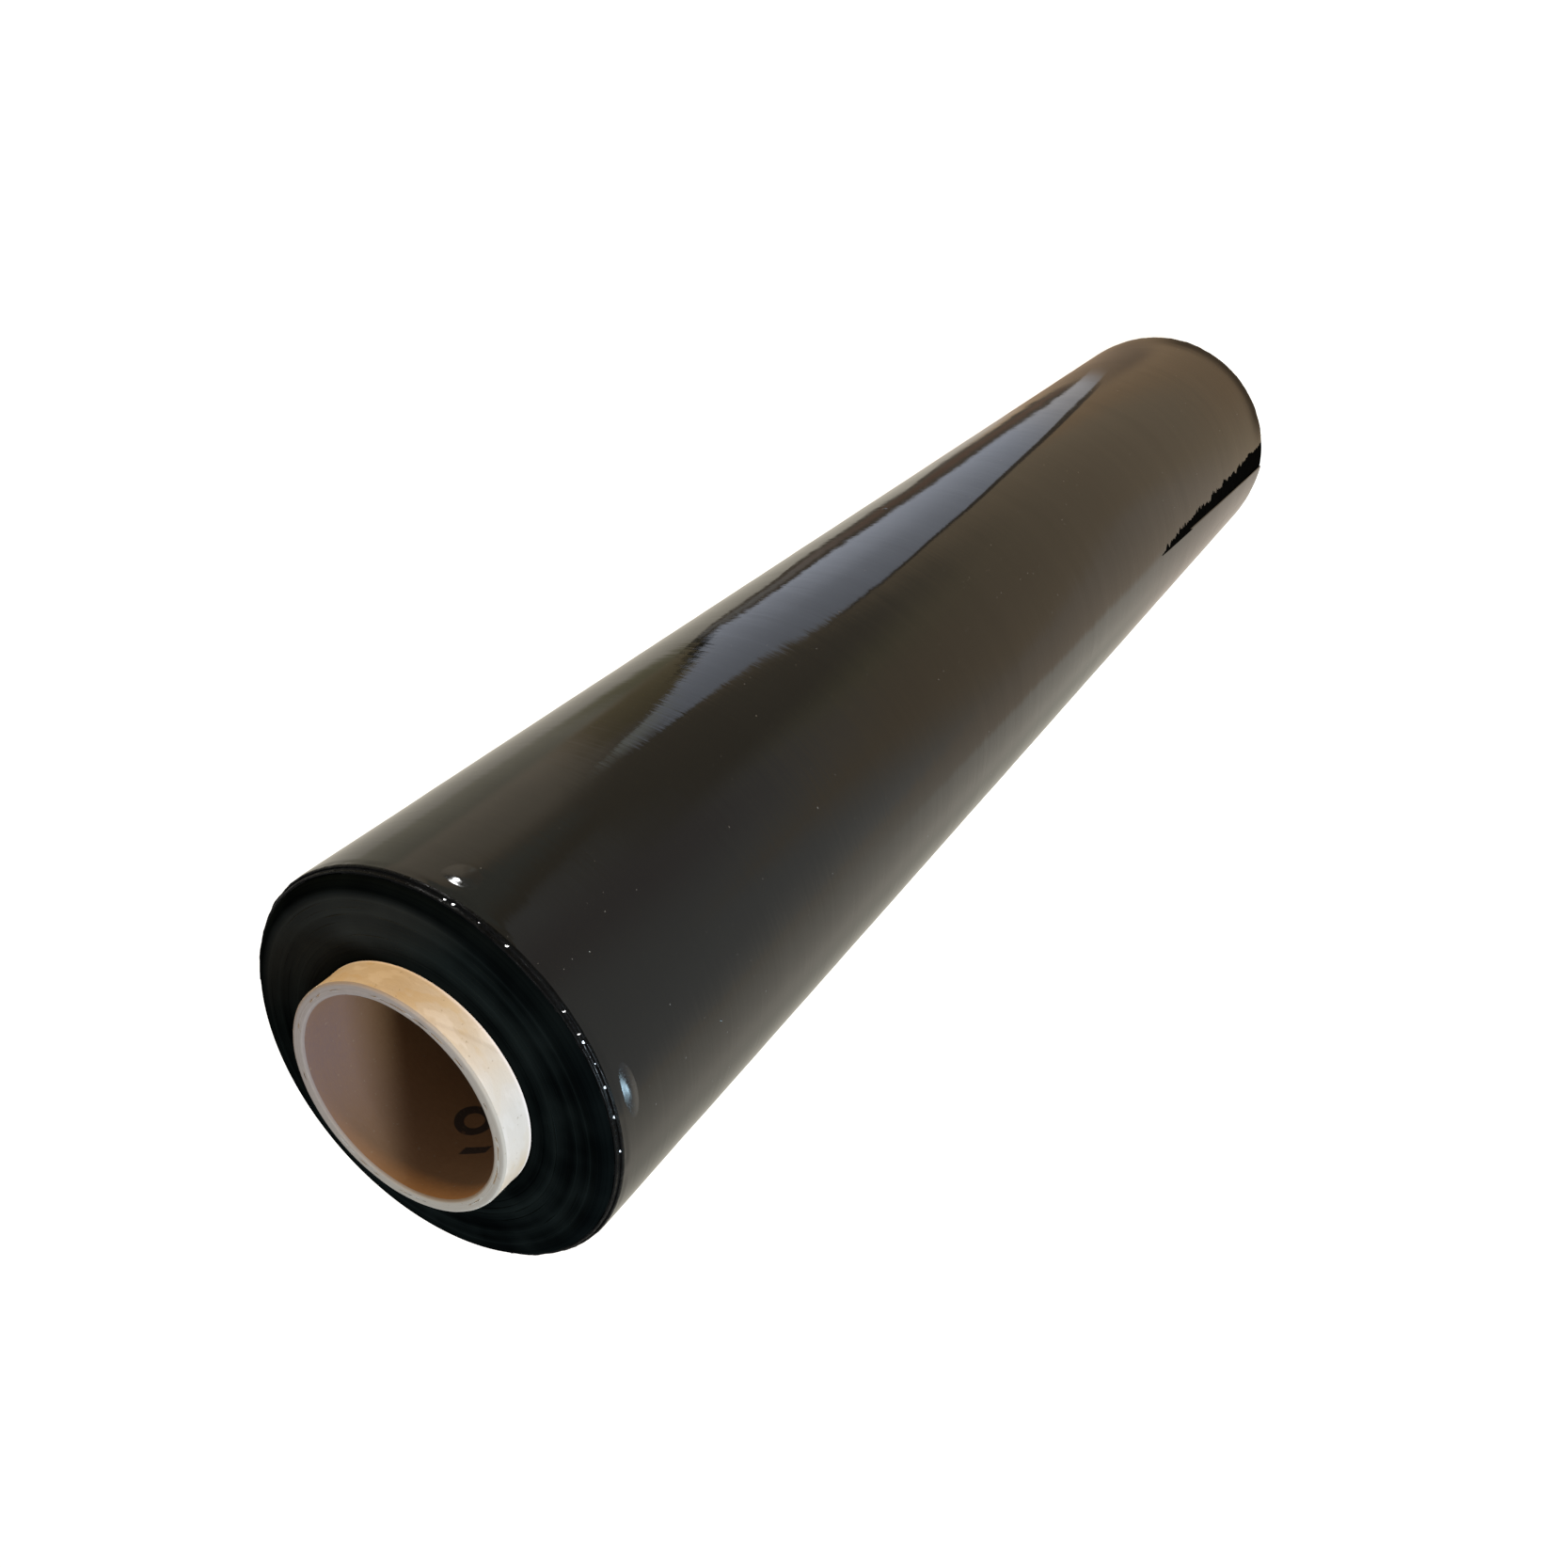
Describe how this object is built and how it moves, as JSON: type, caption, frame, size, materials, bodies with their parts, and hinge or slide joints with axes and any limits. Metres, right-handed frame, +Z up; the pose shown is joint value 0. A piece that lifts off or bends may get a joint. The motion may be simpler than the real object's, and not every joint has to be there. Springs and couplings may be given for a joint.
{
  "type": "stretch wrap roll",
  "caption": "Black stretch film wound on a cardboard core that stands out at both ends, with rounded film edges, spiral turn lines and a loose tail corner.",
  "frame": {"origin": "centre of the core's lower end, on the surface that the roll stands on", "axes": "+Z up the core's axis; the loose tail's free edge is 135.5 degrees round from +X towards -Y"},
  "size_m": [0.0974, 0.0974, 0.516],
  "materials": {
    "core_board": "matte",
    "stretch_film": "gloss"
  },
  "bodies": {
    "root": {"core_tube": "core_board", "film_roll": "stretch_film"}
  },
  "joints": []
}
